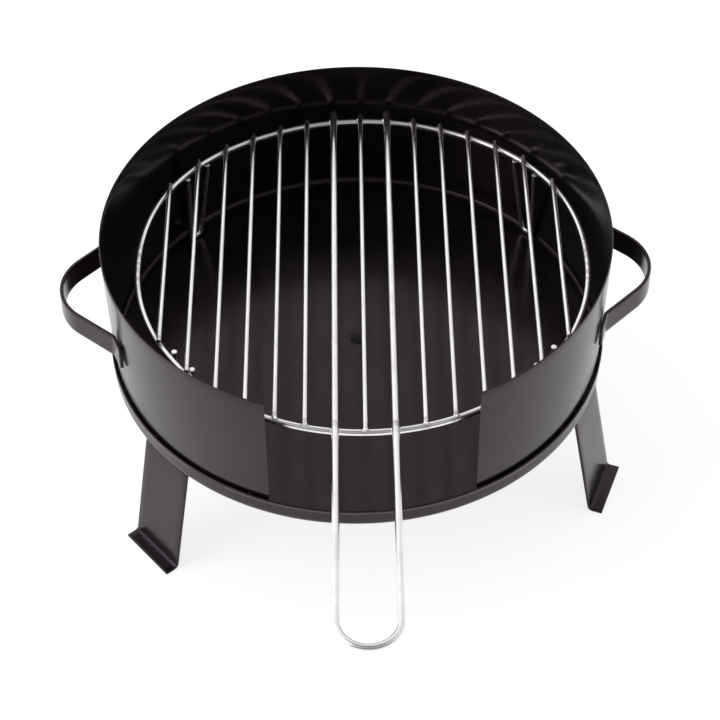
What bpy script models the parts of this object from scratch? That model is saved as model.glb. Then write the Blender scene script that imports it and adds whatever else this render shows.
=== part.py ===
"""Portable round fire pit: tray, open-fronted wind wall, three strip legs, two carrying handles and a lift-out grate.

Metres, +Z up. The legs stand on z = 0 and the opening in the wind wall faces -Y.
Bearings are measured from -Y, counter-clockwise seen from above.
"""

import math

import bmesh
import bpy
from mathutils import Matrix, Vector

for old in list(bpy.data.objects):
    bpy.data.objects.remove(old, do_unlink=True)

# Clearances
GAP = 0.0003                 # between pieces that touch
TACK_SLOT = 0.0009           # between the wind wall and the rim of the pan

# Pan
PAN_RADIUS = 0.1744          # over the rim bead
PAN_SHEET = 0.0012
PAN_DEPTH = 0.0146           # floor to rim top
PAN_CORNER = 0.005           # outer radius of the floor corner
RIM_BEAD = 0.0017            # thickness of the rolled rim
RIM_BEAD_HEIGHT = 0.0030
DRAIN_DIAMETER = 0.010
FLOOR_HEIGHT = 0.0900        # top of the pan floor above the ground

# Wind wall
WALL_SHEET = 0.0010
WALL_FLARE = 0.0032          # outer radius gained from the bottom to the top
WALL_TOP = 0.1084            # above the pan floor
WALL_RIM_OVERLAP = 0.0040    # how far the wall reaches down inside the rim
OPENING_WIDTH = 0.1380       # between the plumb ends of the wall
TACKS_LEFT = (4.4, 32.4)     # degrees round the rim from the left end of the wall
TACKS_RIGHT = (26.4, 32.9)   # the same from the right end
TACK_WIDTH = 0.0040
TACK_HEIGHT = 0.0030

# Legs
LEG_WIDTH = 0.0465
LEG_SHEET = 0.0020
LEG_SPLAY = math.radians(10.4)
LEG_INSET = 0.0054           # from the outside of the pan to where the strip leaves it
LEG_TAB = 0.030              # length of the tab under the pan
LEG_FLANGE = 0.0095          # length of the foot, past the strip
LEG_BEND = 0.0035            # centreline radius of both bends
LEG_TURN = math.radians(6.0)
LEG_COUNT = 3

# Side handles
GRIP_SHEET = 0.0025
GRIP_WIDTH = 0.018
GRIP_TOP = 0.0660            # upper edge above the pan floor
GRIP_REACH = 0.0320          # outer face beyond the wind wall
GRIP_APEX_RADIUS = 0.0370
GRIP_FLARE = math.radians(47.4)
GRIP_BEND = 0.0050
GRIP_TAB_ANGLE = math.radians(4.6)
GRIP_TURNS = [math.radians(a) for a in (-1.1, 180.0)]

# Grate
RING_INSET = 0.0178          # from the outside of the pan to the centreline of the ring
RING_WIRE = 0.0047
RING_CORNER = 0.0042         # how far the ring is bent out of round at its two rear corners
RING_CORNER_SPREAD = math.radians(38)
RING_CORNER_BEARINGS = [math.radians(a) for a in (125.0, -125.0)]
BAR_WIRE = 0.0035
GRATE_HANDLE_WIRE = 0.0050
BAR_COUNT = 15
BAR_SPREAD = 0.88            # distance of the outermost bar over the radius of the ring
BAR_OVERHANG = 0.0012        # bar ends past the centreline of the ring
HANDLE_OVERHANG = 0.0050     # the same for the wire of the loop
RING_HEIGHT = 0.0666         # centre of the ring above the pan floor
LOOP_REACH = 0.1617          # end of the loop beyond the outside of the pan
GRATE_TURN = math.radians(-3.3)
GRATE_SHIFT = (0.0047, 0.0051)
FOOT_WIRE = 0.0041
FOOT_BEARINGS = [math.radians(a) for a in (-53.0, 53.0, 130.0, -130.0)]
FOOT_HALF_WIDTH = 0.0104     # at the ring
FOOT_TIP_HALF_WIDTH = 0.0050
FOOT_CORNER_GAP = 0.0070     # from the tips to the rounded corner of the pan floor, grate centred
FOOT_BEND = 0.0042

# Facets
ROUND_STEPS = 96
WIRE_SIDES = 12
BEND_STEPS = 6
CHORD_ROUNDS = 12            # rounds to find where a bar meets the ring

# Sizes that follow
PAN_RIM_INNER = PAN_RADIUS - RIM_BEAD
PAN_FLAT_RADIUS = PAN_RIM_INNER + PAN_SHEET - PAN_CORNER
WALL_BOTTOM = PAN_DEPTH - WALL_RIM_OVERLAP
WALL_BOTTOM_RADIUS = PAN_RIM_INNER - TACK_SLOT
WALL_TOP_RADIUS = WALL_BOTTOM_RADIUS + WALL_FLARE
WALL_END_BEARING = math.asin(OPENING_WIDTH / 2 / WALL_BOTTOM_RADIUS)
LEG_TOP = FLOOR_HEIGHT - PAN_SHEET - GAP
LEG_TOP_RADIUS = PAN_RADIUS - LEG_INSET
RING_RADIUS = PAN_RADIUS - RING_INSET
BAR_PITCH = BAR_SPREAD * RING_RADIUS / (BAR_COUNT // 2)
GRATE_REACH = PAN_RADIUS + LOOP_REACH
GRATE_TOP_WIRE_GAP = RING_WIRE / 2 + GAP
HANDLE_BAR_SIDE = BAR_PITCH
FOOT_ARM_INSET = RING_WIRE / 2 + GAP + FOOT_WIRE / 2
FOOT_TIP_RADIUS = PAN_FLAT_RADIUS - FOOT_CORNER_GAP


def wall_radius(height):
    """Outer radius of the wind wall at a height above the pan floor."""
    share = (height - WALL_BOTTOM) / (WALL_TOP - WALL_BOTTOM)
    return WALL_BOTTOM_RADIUS + share * WALL_FLARE


def leg_foot_radius():
    """Distance from the pan axis to the outer edge of a foot."""
    drop = LEG_TOP - LEG_SHEET
    return LEG_TOP_RADIUS + math.tan(LEG_SPLAY) * drop + LEG_FLANGE


def pan_axis_y():
    """Place of the pan axis that centres the bounding box on the origin."""
    front = GRATE_REACH * math.cos(GRATE_TURN) - GRATE_SHIFT[1]
    back = leg_foot_radius() * math.cos(LEG_TURN) + LEG_WIDTH / 2 * math.sin(LEG_TURN)
    return (front - back) / 2


collection = bpy.data.collections.new("fire_pit_with_grate")
bpy.context.scene.collection.children.link(collection)
cutters = bpy.data.collections.new("cutters")
bpy.context.scene.collection.children.link(cutters)


def make_material(name, colour, roughness, metallic):
    """One Principled material."""
    material = bpy.data.materials.new(name)
    material.use_nodes = True
    shader = material.node_tree.nodes["Principled BSDF"]
    shader.inputs["Base Color"].default_value = (*colour, 1.0)
    shader.inputs["Roughness"].default_value = roughness
    shader.inputs["Metallic"].default_value = metallic
    return material


def black_paint(name):
    """Semi-gloss black enamel for one piece."""
    return make_material(name + "_paint", (0.012, 0.012, 0.013), 0.30, 0.0)


def bright_wire(name):
    """Plated wire for one piece."""
    return make_material(name + "_plating", (0.78, 0.78, 0.80), 0.16, 1.0)


def make_empty(name, parent, location, turn):
    """A parent for pieces that share a centre."""
    empty = bpy.data.objects.new(name, None)
    empty.location = location
    empty.rotation_euler = (0.0, 0.0, turn)
    empty.parent = parent
    collection.objects.link(empty)
    return empty


def add_object(name, data, parent, material):
    """Link a mesh or curve as one named piece."""
    obj = bpy.data.objects.new(name, data)
    obj.parent = parent
    data.materials.append(material)
    collection.objects.link(obj)
    return obj


def box_mesh(name, size):
    """A box about the origin."""
    mesh = bpy.data.meshes.new(name)
    bm = bmesh.new()
    bmesh.ops.create_cube(bm, size=1.0, matrix=Matrix.Diagonal((*size, 1.0)))
    bm.to_mesh(mesh)
    bm.free()
    return mesh


def make_cutter(name, size, centre, parent):
    """A box that is cut away."""
    cutter = bpy.data.objects.new(name, box_mesh(name, size))
    cutter.location = centre
    cutter.parent = parent
    cutter.hide_render = True
    cutter.display_type = "WIRE"
    cutters.objects.link(cutter)
    return cutter


def smooth_faces(mesh, angle):
    """Smooth shading with the creases kept."""
    mesh.shade_smooth()
    mesh.set_sharp_from_angle(angle=angle)


def arc_points(centre, radius, start, end, steps):
    """Points on an arc in a plane, both ends included."""
    points = []
    for i in range(steps + 1):
        angle = start + (end - start) * i / steps
        points.append((centre[0] + radius * math.cos(angle), centre[1] + radius * math.sin(angle)))
    return points


def round_corners(points, radii):
    """A polyline with each inner corner replaced by an arc of its own radius."""
    points = [Vector(p) for p in points]
    path = [points[0]]
    for before, corner, after, radius in zip(points, points[1:], points[2:], radii):
        back = (before - corner).normalized()
        ahead = (after - corner).normalized()
        half = back.angle(ahead) / 2
        reach = radius / math.tan(half)
        centre = corner + (back + ahead).normalized() * radius / math.sin(half)
        first = corner + back * reach - centre
        last = corner + ahead * reach - centre
        sweep = first.angle(last)
        for i in range(BEND_STEPS + 1):
            share = i / BEND_STEPS
            turn = (first * math.sin((1 - share) * sweep) + last * math.sin(share * sweep)) / math.sin(sweep)
            path.append(centre + turn)
    path.append(points[-1])
    return path


def profile_mesh(name, points, closed):
    """Edges of a turned profile in the XZ plane."""
    mesh = bpy.data.meshes.new(name)
    edges = [(i, i + 1) for i in range(len(points) - 1)]
    if closed:
        edges.append((len(points) - 1, 0))
    mesh.from_pydata([(r, 0.0, z) for r, z in points], edges, [])
    return mesh


def add_screw(obj, steps):
    """Turn a profile once about Z."""
    screw = obj.modifiers.new("turn", "SCREW")
    screw.axis = "Z"
    screw.steps = steps
    screw.render_steps = steps
    screw.use_merge_vertices = True
    screw.merge_threshold = 1e-5
    screw.use_smooth_shade = True


def make_wire(name, path, diameter, parent, closed=False):
    """A round wire along a path, with capped ends or closed on itself."""
    curve = bpy.data.curves.new(name, "CURVE")
    curve.dimensions = "3D"
    curve.bevel_depth = diameter / 2
    curve.bevel_resolution = 2
    curve.use_fill_caps = not closed
    spline = curve.splines.new("POLY")
    spline.points.add(len(path) - 1)
    for point, place in zip(spline.points, path):
        point.co = (*place, 1.0)
    spline.use_smooth = True
    spline.use_cyclic_u = closed
    return add_object(name, curve, parent, bright_wire(name))


def make_strip(name, path, across, width, thickness, parent):
    """Flat strip bent along a path, its width along the direction across."""
    mesh = bpy.data.meshes.new(name)
    bm = bmesh.new()
    start = [bm.verts.new(Vector(p) - Vector(across) * width / 2) for p in path]
    edges = [bm.edges.new(pair) for pair in zip(start, start[1:])]
    swept = bmesh.ops.extrude_edge_only(bm, edges=edges)["geom"]
    moved = [item for item in swept if isinstance(item, bmesh.types.BMVert)]
    bmesh.ops.translate(bm, verts=moved, vec=Vector(across) * width)
    bmesh.ops.recalc_face_normals(bm, faces=bm.faces[:])
    bm.to_mesh(mesh)
    bm.free()
    strip = add_object(name, mesh, parent, black_paint(name))
    solid = strip.modifiers.new("sheet", "SOLIDIFY")
    solid.thickness = thickness
    solid.offset = 0.0
    solid.use_even_offset = True
    smooth_faces(mesh, math.radians(40))
    return strip


def build_pan(parent):
    """Shallow tray with a rounded floor corner, a beaded rim and a drain hole."""
    inner_corner = PAN_CORNER - PAN_SHEET
    outer_wall = PAN_RIM_INNER + PAN_SHEET
    bead_bottom = PAN_DEPTH - RIM_BEAD_HEIGHT
    bead_round = RIM_BEAD / 2
    floor_centre = (PAN_FLAT_RADIUS, inner_corner)
    quarter = math.pi / 2
    points = arc_points((PAN_RADIUS - bead_round, PAN_DEPTH - bead_round), bead_round, math.pi, 0.0, BEND_STEPS)
    points += [(PAN_RADIUS, bead_bottom + RIM_BEAD), (outer_wall, bead_bottom)]
    points += arc_points(floor_centre, PAN_CORNER, 0.0, -quarter, BEND_STEPS)
    points += [(DRAIN_DIAMETER / 2, -PAN_SHEET), (DRAIN_DIAMETER / 2, 0.0)]
    points += arc_points(floor_centre, inner_corner, -quarter, 0.0, BEND_STEPS)
    pan = add_object("pan", profile_mesh("pan", points, True), parent, black_paint("pan"))
    add_screw(pan, ROUND_STEPS)


def build_wall(parent):
    """Flared band of sheet, open at the front."""
    points = [(WALL_TOP_RADIUS, WALL_TOP), (WALL_BOTTOM_RADIUS, WALL_BOTTOM)]
    wall = add_object("wind_wall", profile_mesh("wind_wall", points, False), parent, black_paint("wind_wall"))
    add_screw(wall, ROUND_STEPS)
    solid = wall.modifiers.new("sheet", "SOLIDIFY")
    solid.thickness = WALL_SHEET
    solid.offset = -1.0
    height = WALL_TOP - WALL_BOTTOM
    centre = (0.0, -WALL_TOP_RADIUS, WALL_BOTTOM + height / 2)
    cut = wall.modifiers.new("opening", "BOOLEAN")
    cut.operation = "DIFFERENCE"
    cut.solver = "EXACT"
    cut.object = make_cutter("wall_opening", (OPENING_WIDTH, WALL_TOP_RADIUS, 2 * height), centre, parent)


def build_tacks(parent):
    """Small blocks in the slot between the wall and the rim."""
    height = PAN_DEPTH - TACK_HEIGHT / 3
    thickness = TACK_SLOT - 2 * GAP
    radius = wall_radius(height) + GAP + thickness / 2
    bearings = [-WALL_END_BEARING - math.radians(a) for a in TACKS_LEFT]
    bearings += [WALL_END_BEARING + math.radians(a) for a in TACKS_RIGHT]
    for number, bearing in enumerate(bearings, 1):
        name = f"wall_tack_{number}"
        mesh = box_mesh(name, (TACK_WIDTH, thickness, TACK_HEIGHT))
        tack = add_object(name, mesh, parent, black_paint(name))
        tack.location = (radius * math.sin(bearing), -radius * math.cos(bearing), height)
        tack.rotation_euler = (0.0, 0.0, bearing)


def leg_path():
    """Centreline of a leg in its own radial plane, from the tab to the foot."""
    top = LEG_TOP - LEG_SHEET / 2
    bottom = LEG_SHEET / 2
    ground_radius = LEG_TOP_RADIUS + math.tan(LEG_SPLAY) * (top - bottom)
    corners = [
        (0.0, -(LEG_TOP_RADIUS - LEG_TAB), top),
        (0.0, -LEG_TOP_RADIUS, top),
        (0.0, -ground_radius, bottom),
        (0.0, -(ground_radius + LEG_FLANGE), bottom),
    ]
    return round_corners(corners, [LEG_BEND, LEG_BEND])


def build_legs(parent):
    """Three equal legs a third of a turn apart."""
    names = ["leg_front_right", "leg_rear", "leg_front_left"]
    first = LEG_TURN + math.pi / LEG_COUNT
    for number, name in enumerate(names):
        leg = make_strip(name, leg_path(), (1.0, 0.0, 0.0), LEG_WIDTH, LEG_SHEET, parent)
        leg.location = (0.0, 0.0, -FLOOR_HEIGHT)
        leg.rotation_euler = (0.0, 0.0, first + number * 2 * math.pi / LEG_COUNT)


def grip_path():
    """Plan of a side handle on +X: a tab on the wall, a D, and the other tab."""
    tab_radius = wall_radius(GRIP_TOP) + GAP + GRIP_SHEET / 2
    apex = wall_radius(GRIP_TOP) + GRIP_REACH - GRIP_SHEET / 2 - GRIP_APEX_RADIUS
    crown = arc_points((apex, 0.0), GRIP_APEX_RADIUS, 0.0, GRIP_FLARE, 2 * BEND_STEPS)
    ahead = Vector((-math.sin(GRIP_FLARE), math.cos(GRIP_FLARE)))
    last = Vector(crown[-1])
    along = last.dot(ahead)
    run = -along - math.sqrt(along * along - last.length_squared + tab_radius * tab_radius)
    landing = last + ahead * run
    start = math.atan2(landing.y, landing.x)
    tab = arc_points((0.0, 0.0), tab_radius, start, start + GRIP_TAB_ANGLE, BEND_STEPS)
    bend = round_corners([(*last, 0.0), (*landing, 0.0), (*tab[-1], 0.0)], [GRIP_BEND])
    tab_start = math.atan2(bend[-2].y, bend[-2].x)
    tab = [p for p in tab if math.atan2(p[1], p[0]) > tab_start]
    half = [(*p, 0.0) for p in crown[:-1]] + [tuple(p) for p in bend[:-1]]
    half += [(*p, 0.0) for p in tab]
    return [(x, -y, z) for x, y, z in reversed(half[1:])] + half


def build_grips(parent):
    """Carrying handles on both sides."""
    for name, turn in zip(("side_handle_right", "side_handle_left"), GRIP_TURNS):
        grip = make_strip(name, grip_path(), (0.0, 0.0, 1.0), GRIP_WIDTH, GRIP_SHEET, parent)
        grip.location = (0.0, 0.0, GRIP_TOP - GRIP_WIDTH / 2)
        grip.rotation_euler = (0.0, 0.0, turn)


def ring_radius(bearing):
    """Distance from the grate's centre to the ring's centreline."""
    nearest = min(abs(math.remainder(bearing - corner, 2 * math.pi)) for corner in RING_CORNER_BEARINGS)
    share = min(nearest / RING_CORNER_SPREAD, 1.0)
    return RING_RADIUS + RING_CORNER * math.cos(share * math.pi / 2) ** 2


def build_ring(parent):
    """Wire that carries the bars, round but for its two rear corners."""
    bearings = [2 * math.pi * step / ROUND_STEPS for step in range(ROUND_STEPS)]
    path = [(ring_radius(b) * math.sin(b), -ring_radius(b) * math.cos(b), 0.0) for b in bearings]
    make_wire("grate_ring", path, RING_WIRE, parent, closed=True)


def half_chord(offset, side):
    """From the middle of a bar to the ring, at a distance from the centre: side 1 to the rear and -1 to the front."""
    length = math.sqrt(RING_RADIUS ** 2 - offset ** 2)
    for _ in range(CHORD_ROUNDS):
        length = math.sqrt(ring_radius(math.atan2(offset, -side * length)) ** 2 - offset ** 2)
    return length


def build_bars(parent):
    """Straight bars on the ring, leaving the two places of the handle wire."""
    height = GRATE_TOP_WIRE_GAP + BAR_WIRE / 2
    middle = BAR_COUNT // 2
    places = [i - middle for i in range(BAR_COUNT) if abs(i - middle) != 1]
    for number, place in enumerate(places, 1):
        name = f"grate_bar_{number:02d}"
        offset = place * BAR_PITCH
        rear = half_chord(offset, 1) + BAR_OVERHANG
        front = half_chord(offset, -1) + BAR_OVERHANG
        bpy.ops.mesh.primitive_cylinder_add(
            vertices=WIRE_SIDES,
            radius=BAR_WIRE / 2,
            depth=rear + front,
            rotation=(math.pi / 2, 0.0, 0.0),
        )
        bar = bpy.context.object
        bar.name = name
        bar.data.name = name
        bar.location = (offset, (rear - front) / 2, height)
        bar.data.materials.append(bright_wire(name))
        smooth_faces(bar.data, math.radians(40))
        bar.parent = parent
        for owner in list(bar.users_collection):
            owner.objects.unlink(bar)
        collection.objects.link(bar)


def build_grate_handle(parent):
    """One wire: two bars of the grate joined by a loop in front of the opening."""
    height = GRATE_TOP_WIRE_GAP + GRATE_HANDLE_WIRE / 2
    back = half_chord(HANDLE_BAR_SIDE, 1) + HANDLE_OVERHANG
    bend_y = -(GRATE_REACH - GRATE_HANDLE_WIRE / 2 - HANDLE_BAR_SIDE)
    loop = arc_points((0.0, bend_y), HANDLE_BAR_SIDE, 0.0, -math.pi, 3 * BEND_STEPS)
    path = [(HANDLE_BAR_SIDE, back, height)]
    path += [(x, y, height) for x, y in loop]
    path += [(-HANDLE_BAR_SIDE, back, height)]
    make_wire("grate_handle", path, GRATE_HANDLE_WIRE, parent)


def foot_path(radius):
    """Wire of one foot, facing -Y: two arms inside the ring, here of a given radius, and a tip on the pan floor."""
    arm_y = -math.sqrt((radius - FOOT_ARM_INSET) ** 2 - FOOT_HALF_WIDTH ** 2)
    top = (arm_y, RING_WIRE / 2)
    corner = (arm_y, -RING_WIRE / 2)
    tip = (-FOOT_TIP_RADIUS, -RING_HEIGHT + GAP + FOOT_WIRE / 2)
    corners = [
        (-FOOT_HALF_WIDTH, *top),
        (-FOOT_HALF_WIDTH, *corner),
        (-FOOT_TIP_HALF_WIDTH, *tip),
        (FOOT_TIP_HALF_WIDTH, *tip),
        (FOOT_HALF_WIDTH, *corner),
        (FOOT_HALF_WIDTH, *top),
    ]
    return round_corners(corners, [FOOT_BEND] * (len(corners) - 2))


def build_grate_feet(parent):
    """Four wire feet under the ring."""
    arm_bearing = math.asin(FOOT_HALF_WIDTH / RING_RADIUS)
    for number, bearing in enumerate(FOOT_BEARINGS, 1):
        radius = min(ring_radius(bearing - arm_bearing), ring_radius(bearing + arm_bearing))
        foot = make_wire(f"grate_foot_{number}", foot_path(radius), FOOT_WIRE, parent)
        foot.rotation_euler = (0.0, 0.0, bearing)


def build():
    """The whole fire pit."""
    base = make_empty("fire_pit_base", None, (0.0, pan_axis_y(), FLOOR_HEIGHT), 0.0)
    build_pan(base)
    build_wall(base)
    build_tacks(base)
    build_legs(base)
    build_grips(base)
    grate = make_empty("grate", base, (*GRATE_SHIFT, RING_HEIGHT), GRATE_TURN)
    build_ring(grate)
    build_bars(grate)
    build_grate_handle(grate)
    build_grate_feet(grate)


build()
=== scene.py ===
"""Looks of a portable round fire pit: enamelled tray, wind wall, legs and handles, and a plated wire grate.

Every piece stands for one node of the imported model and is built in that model's frame, in metres.
Bearings are measured from -Y, counter-clockwise seen from above.
"""

import logging
import math
from collections.abc import Sequence
from dataclasses import dataclass
from enum import Enum

import bmesh
import bpy
from mathutils import Matrix, Vector


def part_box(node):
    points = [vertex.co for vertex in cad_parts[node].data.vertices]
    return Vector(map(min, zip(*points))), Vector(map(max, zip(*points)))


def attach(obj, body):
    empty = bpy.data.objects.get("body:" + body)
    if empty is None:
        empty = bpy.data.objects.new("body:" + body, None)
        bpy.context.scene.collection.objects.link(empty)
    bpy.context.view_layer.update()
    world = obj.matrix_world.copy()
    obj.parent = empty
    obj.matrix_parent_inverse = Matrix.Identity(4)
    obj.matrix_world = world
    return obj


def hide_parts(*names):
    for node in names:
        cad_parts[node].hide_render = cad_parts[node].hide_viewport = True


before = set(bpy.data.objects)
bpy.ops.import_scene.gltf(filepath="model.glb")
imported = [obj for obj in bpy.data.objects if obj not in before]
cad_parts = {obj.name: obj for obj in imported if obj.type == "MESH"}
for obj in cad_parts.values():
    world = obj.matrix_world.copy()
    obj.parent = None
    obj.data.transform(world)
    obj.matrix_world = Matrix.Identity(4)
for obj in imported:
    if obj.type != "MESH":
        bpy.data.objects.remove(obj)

log = logging.getLogger("fire_pit")

UP = Vector((0.0, 0.0, 1.0))
DROP_COUNT = 4
CHORD_ROUNDS = 12


class Slot(Enum):
    """Material slots of the record."""

    BLACK_PAINT = "black_paint"
    BRIGHT_WIRE = "bright_wire"


class Body(Enum):
    """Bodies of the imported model."""

    BASE = "base"
    GRATE = "grate"


# ---------------------------------------------------------------- shader nodes


class Signal:
    """A node's output that takes part in sums, products and comparisons."""

    def __init__(self, graph: "Graph", socket: bpy.types.NodeSocket) -> None:
        """Wraps one output socket.

        Args:
            graph: The node graph that owns the socket.
            socket: The output socket.
        """
        self.graph = graph
        self.socket = socket

    def _math(self, operation: str, *others: "Signal | float") -> "Signal":
        """Joins this signal and others in a Math node.

        Args:
            operation: Name of the Math node's operation.
            others: The other operands.

        Returns:
            The result.
        """
        inputs = {0: self, **dict(enumerate(others, 1))}
        node = self.graph.make("ShaderNodeMath", {"operation": operation}, inputs)
        return Signal(self.graph, node.outputs[0])

    def __add__(self, other: "Signal | float") -> "Signal":
        """Sum."""
        return self._math("ADD", other)

    __radd__ = __add__

    def __mul__(self, other: "Signal | float") -> "Signal":
        """Product."""
        return self._math("MULTIPLY", other)

    __rmul__ = __mul__

    def __sub__(self, other: "Signal | float") -> "Signal":
        """Difference."""
        return self._math("SUBTRACT", other)

    def __rsub__(self, other: float) -> "Signal":
        """Difference from a number."""
        return (self * -1.0) + other

    def __truediv__(self, other: "Signal | float") -> "Signal":
        """Quotient."""
        return self._math("DIVIDE", other)

    def __abs__(self) -> "Signal":
        """Distance from zero."""
        return self._math("ABSOLUTE")

    def root(self) -> "Signal":
        """Square root."""
        return self._math("SQRT")

    def to_nearest(self, step: float) -> "Signal":
        """Distance to the nearest multiple of a step."""
        return self._math("PINGPONG", step / 2)

    def ramp(self, low: float, high: float, to_low: float = 0.0, to_high: float = 1.0) -> "Signal":
        """Smooth step from one value to another, held outside the range.

        Args:
            low: Input at which the step starts.
            high: Input at which it ends.
            to_low: Result at the start.
            to_high: Result at the end.

        Returns:
            The stepped signal.
        """
        values = {"Value": self, "From Min": low, "From Max": high, "To Min": to_low, "To Max": to_high}
        node = self.graph.make("ShaderNodeMapRange", {"interpolation_type": "SMOOTHSTEP"}, values)
        return Signal(self.graph, node.outputs["Result"])


class Graph:
    """The node tree of one material or world."""

    def __init__(self, tree: bpy.types.NodeTree) -> None:
        """Empties the tree.

        Args:
            tree: The node tree to fill.
        """
        self.tree = tree
        self.tree.nodes.clear()

    def make(self, kind: str, settings: dict | None = None, values: dict | None = None) -> bpy.types.Node:
        """Adds one node.

        Args:
            kind: The node's type.
            settings: Properties of the node, set first.
            values: Input values or signals, by socket name or number.

        Returns:
            The node.
        """
        node = self.tree.nodes.new(kind)
        for name, setting in (settings or {}).items():
            setattr(node, name, setting)
        for key, value in (values or {}).items():
            if isinstance(value, Signal):
                self.tree.links.new(value.socket, node.inputs[key])
            else:
                node.inputs[key].default_value = value
        return node

    def signal(self, node: bpy.types.Node, output: str | int = 0) -> Signal:
        """One output of a node.

        Args:
            node: The node.
            output: Name or number of the output.

        Returns:
            The output as a signal.
        """
        return Signal(self, node.outputs[output])

    def position(self) -> Signal:
        """Place on the piece, in metres."""
        return self.signal(self.make("ShaderNodeTexCoord"), "Object")

    def parts(self, vector: Signal) -> tuple[Signal, Signal, Signal]:
        """X, Y and Z of a vector.

        Args:
            vector: The vector.

        Returns:
            Its three parts.
        """
        node = self.make("ShaderNodeSeparateXYZ", None, {0: vector})
        return self.signal(node, 0), self.signal(node, 1), self.signal(node, 2)

    def stretched(self, vector: Signal, scale: Sequence[float], turn: float = 0.0) -> Signal:
        """A vector with each axis scaled, after a turn about Z.

        Args:
            vector: The vector.
            scale: Factor on each axis.
            turn: Angle about Z in radians.

        Returns:
            The stretched vector.
        """
        turned = self.make("ShaderNodeMapping", None, {"Vector": vector, "Rotation": (0.0, 0.0, turn)})
        inputs = {0: self.signal(turned), 1: tuple(scale)}
        node = self.make("ShaderNodeVectorMath", {"operation": "MULTIPLY"}, inputs)
        return self.signal(node)

    def noise(self, vector: Signal, scale: float, detail: float = 2.0, roughness: float = 0.5) -> Signal:
        """Smooth noise around one half.

        Args:
            vector: Where it is read.
            scale: Cells to a unit of the vector.
            detail: Octaves.
            roughness: Weight of each octave over the one before.

        Returns:
            The noise.
        """
        values = {"Vector": vector, "Scale": scale, "Detail": detail, "Roughness": roughness}
        return self.signal(self.make("ShaderNodeTexNoise", {"noise_dimensions": "3D"}, values))

    def blend(
        self, factor: Signal, first: Sequence[float] | Signal, second: Sequence[float] | Signal
    ) -> Signal:
        """A colour between two others.

        Args:
            factor: 0 for the first and 1 for the second.
            first: Colour or signal.
            second: Colour or signal.

        Returns:
            The mixed colour.
        """
        pair = [value if isinstance(value, Signal) else (*value, 1.0) for value in (first, second)]
        node = self.make("ShaderNodeMix", {"data_type": "RGBA"}, {0: factor, 6: pair[0], 7: pair[1]})
        return self.signal(node, 2)

    def bump(
        self, height: Signal, distance: float, strength: float = 1.0, under: Signal | None = None
    ) -> Signal:
        """A normal tipped by a height in metres over a distance.

        Args:
            height: The height signal, 0 to 1.
            distance: Height in metres at 1.
            strength: Share of the effect.
            under: Normal that this one is laid on.

        Returns:
            The normal.
        """
        values = {"Height": height, "Distance": distance, "Strength": strength}
        if under is not None:
            values["Normal"] = under
        return self.signal(self.make("ShaderNodeBump", None, values))

    def edges(self, low: float, high: float) -> Signal:
        """1 on convex edges and 0 on flat faces.

        Args:
            low: Pointiness at which an edge starts.
            high: Pointiness of a full edge.

        Returns:
            The mask.
        """
        return self.signal(self.make("ShaderNodeNewGeometry"), "Pointiness").ramp(low, high)


def finish_graph(name: str) -> tuple[bpy.types.Material, Graph]:
    """A new material and its graph.

    Args:
        name: The material's name.

    Returns:
        The material and its empty graph.
    """
    material = bpy.data.materials.new(name)
    material.use_nodes = True
    return material, Graph(material.node_tree)


# ---------------------------------------------------------------- finishes


@dataclass(frozen=True)
class Enamel:
    """Black oven enamel on sheet steel, with orange peel, a slow wave of the sheet and rubbed edges."""

    colour: tuple[float, float, float] = (0.0042, 0.0034, 0.0040)
    dust_colour: tuple[float, float, float] = (0.0075, 0.0064, 0.0072)
    edge_colour: tuple[float, float, float] = (0.030, 0.029, 0.030)
    gloss_low: float = 0.16
    gloss_high: float = 0.24
    peel_scale: float = 420.0
    peel_depth: float = 0.000012
    wave_scale: float = 16.0
    wave_depth: float = 0.0007
    ior: float = 1.44
    tint: tuple[float, float, float] = (1.0, 0.73, 0.93)

    def material(self, name: str, wave: float = 1.0, haze: float = 0.0) -> bpy.types.Material:
        """Builds the enamel for one piece.

        Args:
            name: The material's name.
            wave: Share of the sheet's slow wave on this piece.
            haze: Roughness added all over.

        Returns:
            The material.
        """
        material, graph = finish_graph(name)
        place = graph.position()
        cloud = graph.noise(place, 22.0, 4.0, 0.6)
        speck = graph.noise(place, 900.0, 2.0, 0.6)
        rubbed = graph.edges(0.53, 0.60) * graph.noise(place, 160.0, 3.0, 0.7).ramp(0.42, 0.62)
        colour = graph.blend(cloud.ramp(0.35, 0.75), self.colour, self.dust_colour)
        colour = graph.blend(speck.ramp(0.66, 0.78) * 0.5, colour, self.dust_colour)
        colour = graph.blend(rubbed * 0.8, colour, self.edge_colour)
        gloss = cloud.ramp(0.30, 0.70, self.gloss_low + haze, self.gloss_high + haze) + rubbed * 0.12
        slow = graph.bump(graph.noise(place, self.wave_scale, 1.0, 0.4), self.wave_depth * wave)
        peel = graph.bump(graph.noise(place, self.peel_scale, 2.0, 0.5), self.peel_depth, 1.0, slow)
        values = {"Base Color": colour, "Roughness": gloss, "Normal": peel, "Metallic": 0.0, "IOR": self.ior}
        values["Specular Tint"] = (*self.tint, 1.0)
        shader = graph.make("ShaderNodeBsdfPrincipled", None, values)
        graph.make("ShaderNodeOutputMaterial", None, {"Surface": graph.signal(shader)})
        return material


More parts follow.
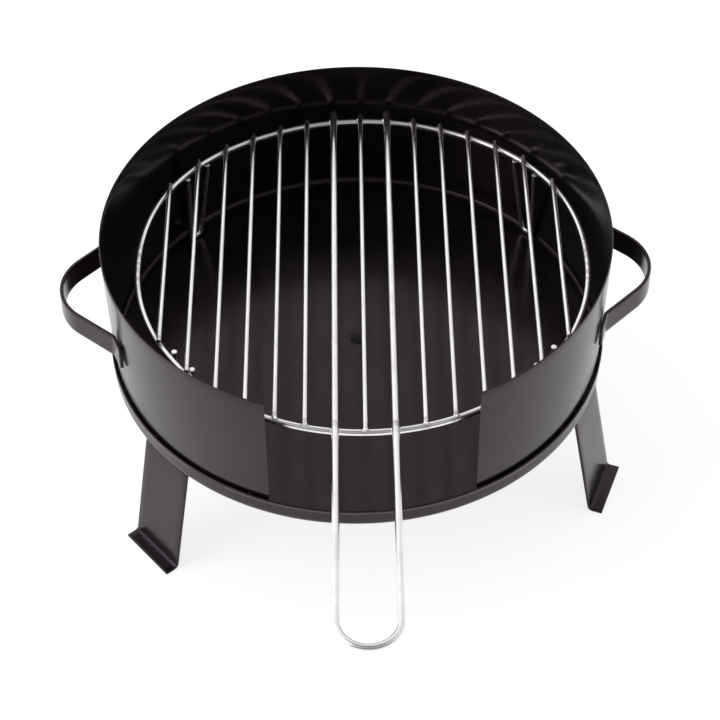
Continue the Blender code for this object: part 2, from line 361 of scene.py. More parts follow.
@dataclass(frozen=True)
class Plating:
    """Bright plated wire, with drawing lines, soft clouds and a dull tint at the welds on the ring."""

    colour: tuple[float, float, float] = (0.93, 0.91, 0.93)
    cloud_colour: tuple[float, float, float] = (0.84, 0.82, 0.84)
    weld_colour: tuple[float, float, float] = (0.42, 0.38, 0.36)
    gloss_low: float = 0.14
    gloss_high: float = 0.24
    weld_reach: float = 0.0042

    def material(
        self, name: str, centre: Vector, ring_radius: float, pitch: float, turn: float
    ) -> bpy.types.Material:
        """Builds the plating for one piece.

        Args:
            name: The material's name.
            centre: Centre of the grate's ring.
            ring_radius: Radius of the ring's centreline.
            pitch: Spacing of the bars.
            turn: Angle of the bars about Z.

        Returns:
            The material.
        """
        material, graph = finish_graph(name)
        place = graph.position()
        x, y, _ = graph.parts(place)
        east = x - centre.x
        north = y - centre.y
        across = east * math.cos(turn) + north * math.sin(turn)
        from_ring = abs((east * east + north * north).root() - ring_radius)
        from_bar = across.to_nearest(pitch)
        weld = from_ring.ramp(0.0012, self.weld_reach, 1.0, 0.0)
        weld = weld * from_bar.ramp(0.0015, self.weld_reach, 1.0, 0.0)
        weld = weld * graph.noise(place, 260.0, 3.0, 0.6).ramp(0.40, 0.62)
        cloud = graph.noise(place, 45.0, 3.0, 0.6)
        lines = graph.noise(graph.stretched(place, (2600.0, 40.0, 2600.0), -turn), 1.0, 2.0, 0.6)
        colour = graph.blend(cloud.ramp(0.40, 0.72), self.colour, self.cloud_colour)
        colour = graph.blend(weld * 0.75, colour, self.weld_colour)
        gloss = cloud.ramp(0.30, 0.70, self.gloss_low, self.gloss_high) + weld * 0.18 + lines * 0.04
        normal = graph.bump(lines, 0.000003, 0.5, graph.bump(cloud, 0.00006))
        values = {"Base Color": colour, "Roughness": gloss, "Normal": normal, "Metallic": 1.0}
        shader = graph.make("ShaderNodeBsdfPrincipled", None, values)
        graph.make("ShaderNodeOutputMaterial", None, {"Surface": graph.signal(shader)})
        return material


@dataclass(frozen=True)
class Paper:
    """Plain pale studio floor that glows softly, with deep shade under the tray."""

    colour: tuple[float, float, float] = (0.36, 0.36, 0.36)
    shade_colour: tuple[float, float, float] = (0.01, 0.01, 0.01)
    glow: float = 0.80
    shade: tuple[float, float] = (0.0, 0.125)
    shade_radius: float = 0.030
    shade_fade: float = 0.110

    def material(self, name: str) -> bpy.types.Material:
        """Builds the floor's finish.

        Args:
            name: The material's name.

        Returns:
            The material.
        """
        material, graph = finish_graph(name)
        place = graph.position()
        x, y, _ = graph.parts(place)
        east = x - self.shade[0]
        north = y - self.shade[1]
        edge = self.shade_radius + self.shade_fade
        open_floor = (east * east + north * north).root().ramp(self.shade_radius, edge)
        grain = graph.noise(place, 30.0, 3.0, 0.6)
        colour = graph.blend(grain, self.colour, tuple(0.99 * part for part in self.colour))
        values = {"Roughness": 0.9, "Emission Strength": self.glow}
        values["Base Color"] = graph.blend(open_floor, self.shade_colour, colour)
        values["Emission Color"] = graph.blend(open_floor, (0.0, 0.0, 0.0), (1.0, 1.0, 1.0))
        shader = graph.make("ShaderNodeBsdfPrincipled", None, values)
        graph.make("ShaderNodeOutputMaterial", None, {"Surface": graph.signal(shader)})
        return material


# ---------------------------------------------------------------- modelling


class Sweep:
    """A point or an outline that is pushed ahead and swung round bends, leaving edges or a skin behind it."""

    def __init__(self, place: Vector, heading: Vector) -> None:
        """Starts an empty sweep.

        Args:
            place: Centre of the outline.
            heading: Direction in which it leaves.
        """
        self.mesh = bmesh.new()
        self.place = place.copy()
        self.heading = heading.normalized()
        self.front: list = []
        self.first: list = []

    def _hold(self) -> None:
        """Takes what has been drawn as the outline."""
        self.front = [*self.mesh.verts, *self.mesh.edges]
        self.first = list(self.mesh.edges)

    def point(self) -> "Sweep":
        """Sweeps a point, which draws a line."""
        bmesh.ops.create_vert(self.mesh, co=self.place)
        self._hold()
        return self

    def round(self, diameter: float, sides: int = 24) -> "Sweep":
        """Sweeps a circle, which draws a wire.

        Args:
            diameter: Of the wire.
            sides: Of the circle.

        Returns:
            This sweep.
        """
        turn = self.heading.to_track_quat("Z", "Y").to_matrix().to_4x4()
        place = Matrix.Translation(self.place) @ turn
        bmesh.ops.create_circle(self.mesh, cap_ends=False, segments=sides, radius=diameter / 2, matrix=place)
        self._hold()
        return self

    def flat(self, width: float, thickness: float, across: Vector, edge: float) -> "Sweep":
        """Sweeps a rectangle with rounded corners, which draws a strip.

        Args:
            width: Of the strip.
            thickness: Of the strip.
            across: Direction of the width.
            edge: Radius of its long edges.

        Returns:
            This sweep.
        """
        side = across.normalized()
        turn = Matrix((side, self.heading.cross(side), self.heading)).transposed().to_4x4()
        place = Matrix.Translation(self.place) @ turn @ Matrix.Diagonal((width, thickness, 1.0, 1.0))
        bmesh.ops.create_grid(self.mesh, x_segments=1, y_segments=1, size=0.5, matrix=place)
        bmesh.ops.bevel(
            self.mesh,
            geom=self.mesh.verts[:],
            offset=edge,
            offset_type="OFFSET",
            segments=3,
            profile=0.5,
            affect="VERTICES",
            material=-1,
        )
        bmesh.ops.delete(self.mesh, geom=self.mesh.faces[:], context="FACES_ONLY")
        long_edges = [e for e in self.mesh.edges if e.calc_length() > width / 2]
        bmesh.ops.subdivide_edges(self.mesh, edges=long_edges, cuts=7)
        self._hold()
        return self

    def _spin(self, centre: Vector, axis: Vector, angle: float, push: Vector, steps: int) -> None:
        """Extrudes the outline along one arc or one straight.

        Args:
            centre: Of the arc.
            axis: Of the arc.
            angle: Of the arc, 0 for a straight.
            push: Step along a straight.
            steps: Number of segments.
        """
        swept = bmesh.ops.spin(
            self.mesh,
            geom=self.front,
            cent=centre,
            axis=axis,
            dvec=push,
            angle=angle,
            steps=steps,
            use_merge=False,
            use_normal_flip=False,
            use_duplicate=False,
        )
        self.front = [item for item in swept["geom_last"] if not isinstance(item, bmesh.types.BMFace)]

    def ahead(self, length: float, steps: int = 1) -> "Sweep":
        """Goes straight on.

        Args:
            length: How far.
            steps: Number of segments.

        Returns:
            This sweep.
        """
        self._spin(self.place, UP, 0.0, self.heading * (length / steps), steps)
        self.place = self.place + self.heading * length
        return self

    def swing(self, axis: Vector, angle: float, radius: float, steps: int = 8) -> "Sweep":
        """Turns on an arc about an axis.

        Args:
            axis: The axis; the turn is right-handed about it.
            angle: Of the turn.
            radius: Of the arc.
            steps: Number of segments.

        Returns:
            This sweep.
        """
        centre = self.place + axis.cross(self.heading).normalized() * radius
        self._spin(centre, axis, angle, Vector(), steps)
        turn = Matrix.Rotation(angle, 3, axis)
        self.place = centre + turn @ (self.place - centre)
        self.heading = turn @ self.heading
        return self

    def bend(self, heading: Vector, radius: float, steps: int = 8) -> "Sweep":
        """Turns on an arc to a new heading.

        Args:
            heading: The new heading.
            radius: Of the arc.
            steps: Number of segments.

        Returns:
            This sweep.
        """
        axis = self.heading.cross(heading).normalized()
        return self.swing(axis, self.heading.angle(heading), radius, steps)

    def follow(self, corners: Sequence[Vector], radius: float, steps: int = 6) -> "Sweep":
        """Runs through corners with the same bend at each, and ends on the last.

        Args:
            corners: The corners, and the end.
            radius: Of each bend.
            steps: Segments of each straight.

        Returns:
            This sweep.
        """
        for corner, after in zip(corners, corners[1:]):
            heading = (after - corner).normalized()
            reach = radius * math.tan(self.heading.angle(heading) / 2)
            self.ahead((corner - self.place).length - reach, steps)
            self.bend(heading, radius)
        return self.ahead((corners[-1] - self.place).length, steps)

    def capped(self, edge: float) -> bmesh.types.BMesh:
        """Closes both ends and rounds their edges.

        Args:
            edge: Radius of the end edges.

        Returns:
            The closed mesh.
        """
        last = [item for item in self.front if isinstance(item, bmesh.types.BMEdge)]
        bmesh.ops.holes_fill(self.mesh, edges=self.first + last, sides=0)
        bmesh.ops.recalc_face_normals(self.mesh, faces=self.mesh.faces[:])
        bmesh.ops.bevel(
            self.mesh,
            geom=self.first + last,
            offset=edge,
            offset_type="OFFSET",
            segments=3,
            profile=0.5,
            affect="EDGES",
            material=-1,
        )
        return self.mesh


def turned(mesh: bmesh.types.BMesh, steps: int) -> bmesh.types.BMesh:
    """Turns a profile once about Z and joins it up.

    Args:
        mesh: The profile in the XZ plane.
        steps: Segments round the axis.

    Returns:
        The turned mesh.
    """
    bmesh.ops.remove_doubles(mesh, verts=mesh.verts[:], dist=1e-6)
    bmesh.ops.spin(
        mesh,
        geom=[*mesh.verts, *mesh.edges],
        cent=Vector(),
        axis=UP,
        dvec=Vector(),
        angle=2 * math.pi,
        steps=steps,
        use_merge=True,
        use_normal_flip=False,
        use_duplicate=False,
    )
    bmesh.ops.remove_doubles(mesh, verts=mesh.verts[:], dist=1e-6)
    bmesh.ops.recalc_face_normals(mesh, faces=mesh.faces[:])
    return mesh


def weld_bead(mesh: bmesh.types.BMesh, place: Matrix, size: Sequence[float], seed: float) -> None:
    """Adds a lumpy drop of weld to a mesh.

    Args:
        mesh: The mesh that takes it.
        place: Centre and turn of the drop.
        size: Its three diameters.
        seed: Changes the lumps.
    """
    half = Matrix.Diagonal((size[0] / 2, size[1] / 2, size[2] / 2, 1.0))
    made = bmesh.ops.create_icosphere(mesh, subdivisions=3, radius=1.0, matrix=Matrix.Identity(4))
    for vert in made["verts"]:
        lump = math.sin(3.1 * vert.co.x + seed) * math.cos(2.7 * vert.co.y - seed)
        lump *= math.sin(2.3 * vert.co.z + 2 * seed)
        vert.co *= 1.0 + 0.10 * lump
    bmesh.ops.transform(mesh, verts=made["verts"], matrix=place @ half)


def spun(angle: float) -> Matrix:
    """A turn about Z.

    Args:
        angle: In radians.

    Returns:
        The 4x4 matrix.
    """
    return Matrix.Rotation(angle, 4, "Z")


def corners_of(node: str) -> tuple[Vector, Vector]:
    """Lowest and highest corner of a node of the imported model.

    Args:
        node: The node's name.

    Returns:
        The two corners.
    """
    low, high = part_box(node)
    return Vector(low), Vector(high)


@dataclass
class Piece:
    """One finished object that stands for one node."""

    name: str
    node: str
    body: Body
    slot: Slot

    def place(self, mesh: bmesh.types.BMesh, where: Matrix, material: bpy.types.Material) -> bpy.types.Object:
        """Makes the object, with its place in its mesh, and ties it to the model.

        Args:
            mesh: Shape about its own origin.
            where: Its place.
            material: Its finish.

        Returns:
            The object.
        """
        bmesh.ops.transform(mesh, matrix=where, verts=mesh.verts[:])
        data = bpy.data.meshes.new(self.name)
        mesh.to_mesh(data)
        mesh.free()
        data.shade_smooth()
        data.set_sharp_from_angle(angle=math.radians(55))
        data.materials.append(material)
        obj = bpy.data.objects.new(self.name, data)
        bpy.context.scene.collection.objects.link(obj)
        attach(obj, self.body.value)
        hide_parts(self.node)
        log.info("%s stands for %s with %d faces", self.name, self.node, len(data.polygons))
        return obj


# ---------------------------------------------------------------- the base


@dataclass
class Tray:
    """Pressed round tray with a rounded floor corner, a rolled rim and a drain hole."""

    sheet: float = 0.0012
    corner: float = 0.005
    rim: float = 0.0017
    rim_height: float = 0.0030
    hole: float = 0.010
    steps: int = 288

    def __post_init__(self) -> None:
        """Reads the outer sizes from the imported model."""
        self.low, self.high = corners_of("pan")
        self.radius = (self.high.x - self.low.x) / 2
        middle_x = (self.low.x + self.high.x) / 2
        middle_y = (self.low.y + self.high.y) / 2
        self.axis = Vector((middle_x, middle_y, self.low.z + self.sheet))
        self.depth = self.high.z - self.axis.z
        self.inner = self.radius - self.rim

    def profile(self) -> bmesh.types.BMesh:
        """Section of the tray, from the hole to the rim and back underneath.

        Returns:
            The closed outline.
        """
        side = Vector((0.0, -1.0, 0.0))
        lip = self.sheet / 2
        flat = self.inner + self.sheet - self.corner
        skirt = self.depth - self.rim_height
        pen = Sweep(Vector((self.hole / 2 + lip, 0.0, 0.0)), Vector((1.0, 0.0, 0.0))).point()
        pen.ahead(flat - pen.place.x, 24).swing(side, math.pi / 2, self.corner - self.sheet, 12)
        pen.ahead(self.depth - self.rim / 2 - pen.place.z, 3).swing(-side, math.pi, self.rim / 2, 10)
        pen.ahead(pen.place.z - skirt - self.rim, 2)
        inwards = Vector((self.inner + self.sheet, 0.0, skirt)) - pen.place
        pen.bend(inwards, self.rim / 2, 2).ahead(self.rim * 0.9, 1)
        pen.bend(-UP, self.rim / 2, 2)
        pen.place.x = self.inner + self.sheet
        for item in pen.front:
            if isinstance(item, bmesh.types.BMVert):
                item.co.x = pen.place.x
        pen.ahead(pen.place.z - (self.corner - self.sheet), 2).swing(-side, math.pi / 2, self.corner, 12)
        pen.ahead(pen.place.x - self.hole / 2 - lip, 24).swing(-side, math.pi, lip, 8)
        return pen.mesh

    def build(self, finish: Enamel) -> None:
        """Makes the tray.

        Args:
            finish: Its enamel.
        """
        piece = Piece("tray_sheet", "pan", Body.BASE, Slot.BLACK_PAINT)
        material = finish.material("tray_enamel", 0.6, 0.02)
        piece.place(turned(self.profile(), self.steps), Matrix.Translation(self.axis), material)


@dataclass
class WindWall:
    """Flared band inside the rim of the tray, open at the front, with weld drops between the two."""

    tray: Tray
    sheet: float = 0.0010
    overlap: float = 0.0040
    slot: float = 0.0009
    opening: float = 0.1380
    steps: int = 360

    def __post_init__(self) -> None:
        """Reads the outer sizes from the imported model."""
        low, high = corners_of("wind_wall")
        self.top_radius = (high.x - low.x) / 2
        self.top = high.z - self.tray.axis.z
        self.bottom = self.tray.depth - self.overlap
        self.bottom_radius = self.tray.inner - self.slot

    def profile(self) -> bmesh.types.BMesh:
        """Section of the band with rounded edges.

        Returns:
            The closed outline.
        """
        side = Vector((0.0, -1.0, 0.0))
        slope = Vector((self.top_radius - self.bottom_radius, 0.0, self.top - self.bottom)).normalized()
        half = self.sheet / 2
        pen = Sweep(Vector((self.bottom_radius, 0.0, self.bottom + half)), slope).point()
        length = (self.top - self.bottom - self.sheet - half * slope.x) / slope.z
        pen.ahead(length, 14).swing(side, math.pi, half, 8)
        pen.ahead(length, 14).swing(side, math.pi, half, 8)
        return pen.mesh

    def cut_opening(self, mesh: bmesh.types.BMesh) -> None:
        """Cuts the band off plumb on both sides of the front and closes the ends.

        Args:
            mesh: The whole band about its axis.
        """
        for sign in (-1.0, 1.0):
            faces = [f for f in mesh.faces if f.calc_center_median().y < 0.0]
            near = {item for f in faces for item in (*f.verts, *f.edges)}
            plane = Vector((sign * self.opening / 2, 0.0, 0.0))
            bmesh.ops.bisect_plane(
                mesh, geom=[*faces, *near], plane_co=plane, plane_no=(1.0, 0.0, 0.0), dist=1e-7
            )
        inside = [f for f in mesh.faces if self._in_opening(f.calc_center_median())]
        bmesh.ops.delete(mesh, geom=inside, context="FACES")
        rims = [e for e in mesh.edges if e.is_boundary]
        bmesh.ops.holes_fill(mesh, edges=rims, sides=0)
        bmesh.ops.recalc_face_normals(mesh, faces=mesh.faces[:])

    def _in_opening(self, centre: Vector) -> bool:
        """True for a place between the two plumb cuts at the front.

        Args:
            centre: The place.

        Returns:
            Whether it is in the opening.
        """
        return centre.y < 0.0 and abs(centre.x) < self.opening / 2

    def build(self, finish: Enamel) -> None:
        """Makes the band and the drops.

        Args:
            finish: Their enamel.
        """
        band = turned(self.profile(), self.steps)
        self.cut_opening(band)
        where = Matrix.Translation(self.tray.axis)
        piece = Piece("wall_sheet", "wind_wall", Body.BASE, Slot.BLACK_PAINT)
        piece.place(band, where, finish.material("wall_enamel", 0.45))
        for number in range(1, DROP_COUNT + 1):
            self.build_drop(number, finish)

    def build_drop(self, number: int, finish: Enamel) -> None:
        """Makes one drop in the slot between the band and the rim.

        Args:
            number: Of the drop.
            finish: Its enamel.
        """
        node = f"wall_tack_{number}"
        low, high = corners_of(node)
        centre = (low + high) / 2
        offset = centre - self.tray.axis
        bearing = math.atan2(offset.x, -offset.y)
        drop = bmesh.new()
        weld_bead(drop, Matrix.Identity(4), (0.0040, self.slot * 0.9, high.z - low.z), number)
        piece = Piece(f"drop_weld_{number}", node, Body.BASE, Slot.BLACK_PAINT)
        material = finish.material(f"drop_enamel_{number}", 0.0)
        piece.place(drop, Matrix.Translation(centre) @ spun(bearing), material)


@dataclass
class Leg:
    """Strip leg: a tab under the tray, a splayed shank and a turned-out foot."""

    tray: Tray
    node: str
    bearing: float
    width: float = 0.0465
    sheet: float = 0.0020
    splay: float = math.radians(10.4)
    inset: float = 0.0054
    tab: float = 0.030
    flange: float = 0.0095
    fold: float = 0.0035
    weld_gap: float = 0.0003
    edge: float = 0.0005

    def build(self, finish: Enamel) -> None:
        """Makes the leg.

        Args:
            finish: Its enamel.
        """
        top = self.tray.low.z - self.weld_gap - self.sheet / 2
        bottom = self.sheet / 2
        radius = self.tray.radius - self.inset
        ground = radius + math.tan(self.splay) * (top - bottom)
        corners = [
            Vector((0.0, -radius, top)),
            Vector((0.0, -ground, bottom)),
            Vector((0.0, -(ground + self.flange), bottom)),
        ]
        out = Vector((0.0, -1.0, 0.0))
        pen = Sweep(Vector((0.0, -(radius - self.tab), top)), out)
        pen.flat(self.width, self.sheet, Vector((1.0, 0.0, 0.0)), self.edge)
        mesh = pen.follow(corners, self.fold, 5).capped(self.edge)
        name = self.node.replace("leg_", "strip_leg_")
        where = Matrix.Translation((self.tray.axis.x, self.tray.axis.y, 0.0)) @ spun(self.bearing)
        material = finish.material(name + "_enamel", 0.5)
        Piece(name, self.node, Body.BASE, Slot.BLACK_PAINT).place(mesh, where, material)


@dataclass
class SideHandle:
    """Strip handle in a D, with a tab at each end against the wind wall."""

    tray: Tray
    wall: WindWall
    node: str
    bearing: float
    width: float = 0.018
    sheet: float = 0.0025
    apex_radius: float = 0.0370
    flare: float = math.radians(47.4)
    fold: float = 0.0050
    tab_angle: float = math.radians(4.6)
    weld_gap: float = 0.0003
    edge: float = 0.0006

    def build(self, finish: Enamel) -> None:
        """Makes the handle.

        Args:
            finish: Its enamel.
        """
        low, high = corners_of(self.node)
        top = high.z - self.tray.axis.z
        share = (top - self.wall.bottom) / (self.wall.top - self.wall.bottom)
        skin = self.wall.bottom_radius + share * (self.wall.top_radius - self.wall.bottom_radius)
        tab_radius = skin + self.weld_gap + self.sheet / 2
        reach = max(high.x - self.tray.axis.x, self.tray.axis.x - low.x) - self.sheet / 2
        pen = Sweep(Vector((reach, 0.0, 0.0)), Vector((0.0, 1.0, 0.0)))
        pen.flat(self.width, self.sheet, UP, self.edge)
        pen.swing(UP, self.flare, self.apex_radius, 16)
        self._land(pen, tab_radius)
        mesh = pen.mesh
        last = [item for item in pen.front if isinstance(item, bmesh.types.BMEdge)]
        bmesh.ops.holes_fill(mesh, edges=last, sides=0)
        ends = [e for e in last if e.is_valid]
        bmesh.ops.recalc_face_normals(mesh, faces=mesh.faces[:])
        bmesh.ops.bevel(
            mesh,
            geom=ends,
            offset=self.edge,
            offset_type="OFFSET",
            segments=3,
            profile=0.5,
            affect="EDGES",
            material=-1,
        )
        half = [*mesh.verts, *mesh.edges, *mesh.faces]
        bmesh.ops.mirror(mesh, geom=half, matrix=Matrix.Identity(4), merge_dist=1e-6, axis="Y")
        bmesh.ops.remove_doubles(mesh, verts=mesh.verts[:], dist=1e-6)
        bmesh.ops.recalc_face_normals(mesh, faces=mesh.faces[:])
        height = (low.z + high.z) / 2
        where = Matrix.Translation((self.tray.axis.x, self.tray.axis.y, height)) @ spun(self.bearing)
        name = self.node.replace("side_handle", "strip_handle")
        material = finish.material(name + "_enamel", 0.5)
        Piece(name, self.node, Body.BASE, Slot.BLACK_PAINT).place(mesh, where, material)

    def _land(self, pen: Sweep, tab_radius: float) -> None:
        """Runs from the crown to the wall and bends into the tab.

        Args:
            pen: The sweep, at the end of the crown.
            tab_radius: Radius of the tab's centreline.
        """
        along = pen.place.dot(pen.heading)
        run = -along - math.sqrt(along * along - pen.place.length_squared + tab_radius * tab_radius)
        landing = pen.place + pen.heading * run
        start = math.atan2(landing.y, landing.x)
        end = start + self.tab_angle
        tab_end = Vector((tab_radius * math.cos(end), tab_radius * math.sin(end), 0.0))
        chord = (tab_end - landing).normalized()
        cut = self.fold * math.tan(pen.heading.angle(chord) / 2)
        pen.ahead(run - cut, 4).bend(chord, self.fold)
        pen.ahead((tab_end - pen.place).length, 4)


# ---------------------------------------------------------------- the grate


@dataclass
class Grate:
    """Round wire with bars across it, a long loop handle and four wire feet."""

    ring_wire: float = 0.0047
    bar_wire: float = 0.0035
    loop_wire: float = 0.0050
    foot_wire: float = 0.0041
    corner: float = 0.0042
    corner_spread: float = math.radians(38.0)
    corner_bearings: tuple[float, ...] = (math.radians(125.0), math.radians(-125.0))
    bar_count: int = 15
    spread: float = 0.88
    bar_overhang: float = 0.0012
    loop_overhang: float = 0.0050
    turn: float = math.radians(-3.3)
    shift: tuple[float, float] = (0.0047, 0.0051)
    inset: float = 0.0178
    weld_gap: float = 0.0003
    foot_bearings: tuple[float, ...] = tuple(math.radians(a) for a in (-53.0, 53.0, 130.0, -130.0))
    foot_half: float = 0.0104
    foot_tip_half: float = 0.0050
    foot_bend: float = 0.0042
    foot_tip_radius: float = 0.1619
    burr: float = 0.0004

    def __post_init__(self) -> None:
        """Reads the grate's place, the ring's height and the loop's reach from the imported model."""
        tray_low, tray_high = corners_of("pan")
        low, high = corners_of("grate_ring")
        middle = (tray_low + tray_high) / 2
        self.centre = Vector((middle.x + self.shift[0], middle.y + self.shift[1], (low.z + high.z) / 2))
        self.radius = (tray_high.x - tray_low.x) / 2 - self.inset
        self.pitch = self.spread * self.radius / (self.bar_count // 2)
        self.deck = self.ring_wire / 2 + self.weld_gap
        loop_low, _ = corners_of("grate_handle")
        front = self.centre.y - loop_low.y - self.loop_wire / 2 - self.pitch
        self.bend_y = -front / math.cos(self.turn)
        foot_low, _ = corners_of("grate_foot_1")
        self.foot_bottom = foot_low.z - self.centre.z + self.foot_wire / 2

    def where(self, turn: float = 0.0) -> Matrix:
        """Place of the grate's own frame.

        Args:
            turn: Extra angle about its centre.

        Returns:
            The 4x4 matrix.
        """
        return Matrix.Translation(self.centre) @ spun(self.turn + turn)

    def radius_at(self, bearing: float) -> float:
        """Distance from the centre to the ring, which is bent out at its two rear corners.

        Args:
            bearing: Where round the ring.

        Returns:
            The distance.
        """
        nearest = min(abs(math.remainder(bearing - corner, 2 * math.pi)) for corner in self.corner_bearings)
        share = min(nearest / self.corner_spread, 1.0)
        return self.radius + self.corner * math.cos(share * math.pi / 2) ** 2

    def half_chord(self, offset: float, side: int) -> float:
        """From the middle of a bar to the ring.

        Args:
            offset: Distance of the bar from the centre.
            side: 1 to the rear and -1 to the front.

        Returns:
            The distance.
        """
        length = math.sqrt(self.radius**2 - offset**2)
        for _ in range(CHORD_ROUNDS):
            length = math.sqrt(self.radius_at(math.atan2(offset, -side * length)) ** 2 - offset**2)
        return length

    def piece(
        self, name: str, node: str, mesh: bmesh.types.BMesh, finish: Plating, turn: float = 0.0
    ) -> None:
        """Places one wire of the grate.

        Args:
            name: Of the piece.
            node: That it stands for.
            mesh: Its shape in the grate's frame.
            finish: Its plating.
            turn: Extra angle about the centre.
        """
        material = finish.material(name + "_plating", self.centre, self.radius, self.pitch, self.turn)
        Piece(name, node, Body.GRATE, Slot.BRIGHT_WIRE).place(mesh, self.where(turn), material)

    def build_ring(self, finish: Plating) -> None:
        """Makes the ring.

        Args:
            finish: Its plating.
        """
        pen = Sweep(Vector((self.radius, 0.0, 0.0)), Vector((0.0, 1.0, 0.0))).round(self.ring_wire)
        mesh = turned(pen.mesh, 240)
        for vert in mesh.verts:
            bearing = math.atan2(vert.co.x, -vert.co.y)
            out = Vector((vert.co.x, vert.co.y, 0.0)).normalized()
            vert.co += out * (self.radius_at(bearing) - self.radius)
        self.piece("ring_wire", "grate_ring", mesh, finish)

    def weld_on_ring(self, mesh: bmesh.types.BMesh, offset: float, wire: float) -> None:
        """Adds a weld at both crossings of a bar and the ring.

        Args:
            mesh: The bar's mesh.
            offset: Distance of the bar from the centre.
            wire: Its diameter.
        """
        for sign in (-1, 1):
            crossing = Vector((offset, sign * self.half_chord(offset, sign), self.ring_wire / 2))
            tangent = math.atan2(-crossing.x, crossing.y)
            place = Matrix.Translation(crossing) @ spun(tangent)
            weld_bead(mesh, place, (wire * 1.45, wire * 0.75, wire * 0.62), 7.0 * offset + sign)

    def build_bars(self, finish: Plating) -> None:
        """Makes the straight bars, leaving the two places of the loop's wire.

        Args:
            finish: Their plating.
        """
        middle = self.bar_count // 2
        places = [i - middle for i in range(self.bar_count) if abs(i - middle) != 1]
        height = self.deck + self.bar_wire / 2
        for number, place in enumerate(places, 1):
            offset = place * self.pitch
            front = self.half_chord(offset, -1) + self.bar_overhang
            rear = self.half_chord(offset, 1) + self.bar_overhang
            pen = Sweep(Vector((offset, -front, height)), Vector((0.0, 1.0, 0.0))).round(self.bar_wire)
            mesh = pen.ahead(front + rear, 12).capped(self.burr)
            self.weld_on_ring(mesh, offset, self.bar_wire)
            self.piece(f"bar_wire_{number:02d}", f"grate_bar_{number:02d}", mesh, finish)

    def build_loop(self, finish: Plating) -> None:
        """Makes the wire of the handle: two bars and the loop between them.

        Args:
            finish: Its plating.
        """
        height = self.deck + self.loop_wire / 2
        back = self.half_chord(self.pitch, 1) + self.loop_overhang
        pen = Sweep(Vector((self.pitch, back, height)), Vector((0.0, -1.0, 0.0))).round(self.loop_wire)
        length = back - self.bend_y
        pen.ahead(length, 16).swing(-UP, math.pi, self.pitch, 32).ahead(length, 16)
        mesh = pen.capped(self.burr)
        for side in (-1.0, 1.0):
            self.weld_on_ring(mesh, side * self.pitch, self.loop_wire)
        self.piece("loop_wire", "grate_handle", mesh, finish)

    def foot_mesh(self, bearing: float) -> bmesh.types.BMesh:
        """One foot, facing -Y: two arms on the inside of the ring that meet in a tip.

        Args:
            bearing: Where round the ring it will stand.

        Returns:
            The closed wire.
        """
        arm = math.asin(self.foot_half / self.radius)
        ring = min(self.radius_at(bearing - arm), self.radius_at(bearing + arm))
        inside = ring - self.ring_wire / 2 - self.weld_gap - self.foot_wire / 2
        arm_y = -math.sqrt(inside**2 - self.foot_half**2)
        tip_y = -self.foot_tip_radius
        top = self.ring_wire / 2
        corners = [
            Vector((-self.foot_half, arm_y, -top)),
            Vector((-self.foot_tip_half, tip_y, self.foot_bottom)),
            Vector((self.foot_tip_half, tip_y, self.foot_bottom)),
            Vector((self.foot_half, arm_y, -top)),
            Vector((self.foot_half, arm_y, top)),
        ]
        pen = Sweep(Vector((-self.foot_half, arm_y, top)), -UP).round(self.foot_wire)
        return pen.follow(corners, self.foot_bend, 5).capped(self.burr)

    def build_feet(self, finish: Plating) -> None:
        """Makes the four feet.

        Args:
            finish: Their plating.
        """
        for number, bearing in enumerate(self.foot_bearings, 1):
            mesh = self.foot_mesh(bearing)
            self.piece(f"foot_wire_{number}", f"grate_foot_{number}", mesh, finish, bearing)

    def build(self, finish: Plating) -> None:
        """Makes the whole grate.

        Args:
            finish: Its plating.
        """
        self.build_ring(finish)
        self.build_bars(finish)
        self.build_loop(finish)
        self.build_feet(finish)


# ---------------------------------------------------------------- the studio


@dataclass(frozen=True)
class Lamp:
    """One soft square light."""

    name: str
    place: tuple[float, float, float]
    aim: tuple[float, float, float]
    size: float
    power: float

    def build(self) -> None:
        """Hangs the light."""
        data = bpy.data.lights.new(self.name, "AREA")
        data.shape = "SQUARE"
        data.size = self.size
        data.energy = self.power
        obj = bpy.data.objects.new(self.name, data)
        obj.location = self.place
        aim = Vector(self.aim) - Vector(self.place)
        obj.rotation_euler = aim.to_track_quat("-Z", "Y").to_euler()
        bpy.context.scene.collection.objects.link(obj)


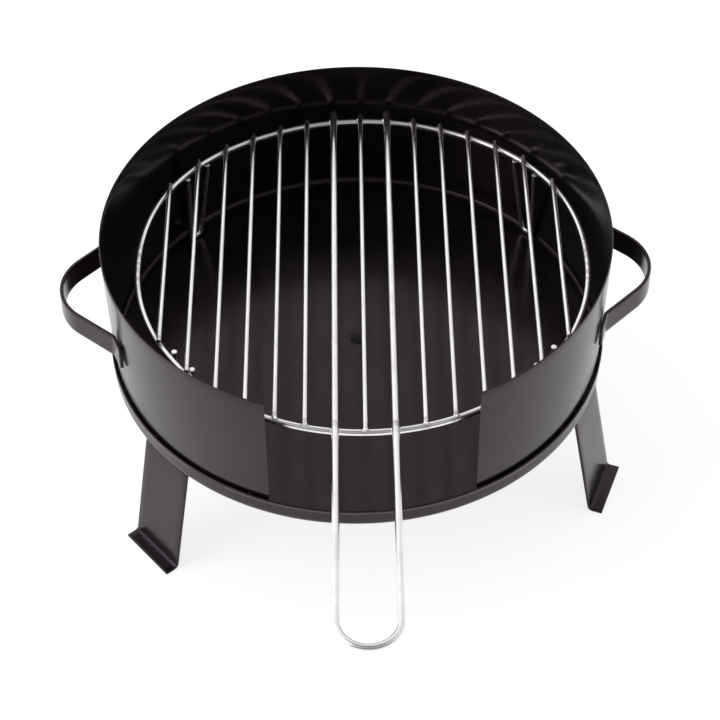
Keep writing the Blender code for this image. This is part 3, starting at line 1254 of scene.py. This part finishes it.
@dataclass
class Studio:
    """Pale floor, soft light from all sides, a soft box on the left and the camera."""

    floor_size: float = 14.0
    sky_strength: float = 1.12
    zenith: float = 0.22
    behind_camera: float = 0.25
    lamps: tuple[Lamp, ...] = (
        Lamp("left_box", (-1.5, -0.5, 0.8), (-0.4, -0.2, 0.0), 1.0, 9.0),
    )
    target: tuple[float, float, float] = (-0.003064, -0.013211, 0.1516)
    azimuth: float = math.radians(-3.5)
    elevation: float = math.radians(45.836)
    distance: float = 1.51717
    roll: float = math.radians(-0.599)
    lens: float = 112.93

    def build_floor(self) -> None:
        """Lays the floor."""
        mesh = bmesh.new()
        bmesh.ops.create_grid(mesh, x_segments=8, y_segments=8, size=self.floor_size / 2)
        data = bpy.data.meshes.new("floor")
        mesh.to_mesh(data)
        mesh.free()
        data.materials.append(Paper().material("floor_paper"))
        floor = bpy.data.objects.new("floor", data)
        bpy.context.scene.collection.objects.link(floor)

    def build_sky(self) -> None:
        """Sets pale light from the back and left, weaker from the right, above and the camera's side."""
        world = bpy.data.worlds.new("soft_room")
        world.use_nodes = True
        bpy.context.scene.world = world
        graph = Graph(world.node_tree)
        direction = graph.signal(graph.make("ShaderNodeTexCoord"), "Generated")
        across, ahead, rise = graph.parts(direction)
        colour = graph.blend(across.ramp(-0.6, 0.8), (1.0, 1.0, 1.0), (0.72, 0.72, 0.72))
        colour = graph.blend(rise.ramp(0.82, 0.98), colour, (self.zenith,) * 3)
        colour = graph.blend(ahead.ramp(-0.75, -0.05), (self.behind_camera,) * 3, colour)
        sky = graph.make("ShaderNodeBackground", None, {"Color": colour, "Strength": self.sky_strength})
        graph.make("ShaderNodeOutputWorld", None, {"Surface": graph.signal(sky)})

    def build_camera(self) -> None:
        """Sets the camera on its sphere about the target."""
        level = math.cos(self.elevation)
        east = level * math.sin(self.azimuth)
        north = -level * math.cos(self.azimuth)
        out = Vector((east, north, math.sin(self.elevation)))
        data = bpy.data.cameras.new("view_camera")
        data.lens = self.lens
        data.sensor_width = 36.0
        data.clip_end = 50.0
        camera = bpy.data.objects.new("view_camera", data)
        aim = (-out).to_track_quat("-Z", "Y").to_matrix().to_4x4()
        place = Matrix.Translation(Vector(self.target) + out * self.distance)
        camera.matrix_world = place @ aim @ spun(self.roll)
        bpy.context.scene.collection.objects.link(camera)
        bpy.context.scene.camera = camera

    def build(self) -> None:
        """Makes the whole studio."""
        self.build_floor()
        self.build_sky()
        for lamp in self.lamps:
            lamp.build()
        self.build_camera()
        bpy.context.scene.view_settings.view_transform = "Standard"


def main() -> None:
    """Builds the studio and every piece in order."""
    logging.basicConfig(level=logging.INFO, format="%(name)s: %(message)s")
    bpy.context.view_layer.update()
    Studio().build()
    enamel = Enamel()
    plating = Plating()
    tray = Tray()
    tray.build(enamel)
    wall = WindWall(tray)
    wall.build(enamel)
    for node, bearing in (("leg_front_right", 66.0), ("leg_rear", 186.0), ("leg_front_left", 306.0)):
        Leg(tray, node, math.radians(bearing)).build(enamel)
    for node, bearing in (("side_handle_right", -1.1), ("side_handle_left", 180.0)):
        SideHandle(tray, wall, node, math.radians(bearing)).build(enamel)
    Grate().build(plating)


if __name__ == "__main__":
    main()
